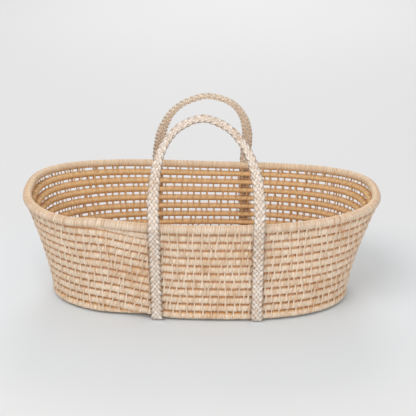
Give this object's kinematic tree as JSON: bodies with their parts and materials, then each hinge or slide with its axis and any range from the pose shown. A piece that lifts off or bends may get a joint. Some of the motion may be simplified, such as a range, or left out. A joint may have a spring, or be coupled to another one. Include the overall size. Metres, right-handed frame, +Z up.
{
  "type": "moses basket",
  "caption": "Oval coil-sewn leaf-fibre carrying basket with flared open wall, thicker rim coil and plaited folding grips sewn down the sides and under the floor.",
  "frame": {"origin": "under the middle of the floor, on the plane the carrying straps rest on, at the centre of the outline seen from above", "axes": "+X along the length, +Y across the width towards the back grip, +Z up"},
  "size_m": [0.8205, 0.4655, 0.4682],
  "materials": {
    "rim_leaf": "matt dried leaf, pale straw",
    "wall_leaf": "matt dried leaf, tan",
    "floor_leaf": "matt dried leaf, tan",
    "stitch": "matt dried leaf, darker tan",
    "plait": "matt plaited leaf, bleached straw",
    "twine": "matt twine, brown"
  },
  "bodies": {
    "basket": {"coil_tail": "wall_leaf", "floor_coil_start": "floor_leaf", "floor_stitches_01": "stitch", "floor_stitches_02": "stitch", "floor_stitches_03": "stitch", "floor_stitches_04": "stitch", "floor_stitches_05": "stitch", "floor_stitches_06": "stitch", "floor_stitches_07": "stitch", "floor_turn_01": "floor_leaf", "floor_turn_02": "floor_leaf", "floor_turn_03": "floor_leaf", "floor_turn_04": "floor_leaf", "floor_turn_05": "floor_leaf", "floor_turn_06": "floor_leaf", "lashings_back_left": "twine", "lashings_back_right": "twine", "lashings_front_left": "twine", "lashings_front_right": "twine", "rim_coil": "rim_leaf", "strap_left": "plait", "strap_right": "plait", "wall_stitches_01": "stitch", "wall_stitches_02": "stitch", "wall_stitches_03": "stitch", "wall_stitches_04": "stitch", "wall_stitches_05": "stitch", "wall_stitches_06": "stitch", "wall_stitches_07": "stitch", "wall_stitches_08": "stitch", "wall_stitches_09": "stitch", "wall_stitches_10": "stitch", "wall_stitches_11": "stitch", "wall_turn_01": "wall_leaf", "wall_turn_02": "wall_leaf", "wall_turn_03": "wall_leaf", "wall_turn_04": "wall_leaf", "wall_turn_05": "wall_leaf", "wall_turn_06": "wall_leaf", "wall_turn_07": "wall_leaf", "wall_turn_08": "wall_leaf", "wall_turn_09": "wall_leaf", "wall_turn_10": "wall_leaf", "wall_turn_11": "wall_leaf"},
    "front_grip": {"grip_front": "plait"},
    "back_grip": {"grip_back": "plait"}
  },
  "joints": [
    {"name": "front_grip_fold", "type": "hinge", "parent": "basket", "child": "front_grip", "pos_m": [0, -0.2273, 0.252], "axis": [-1, 0, 0], "range_deg": [-137, 34]},
    {"name": "back_grip_fold", "type": "hinge", "parent": "basket", "child": "back_grip", "pos_m": [0, 0.2273, 0.2512], "axis": [1, 0, 0], "range_deg": [-143, 28]}
  ]
}
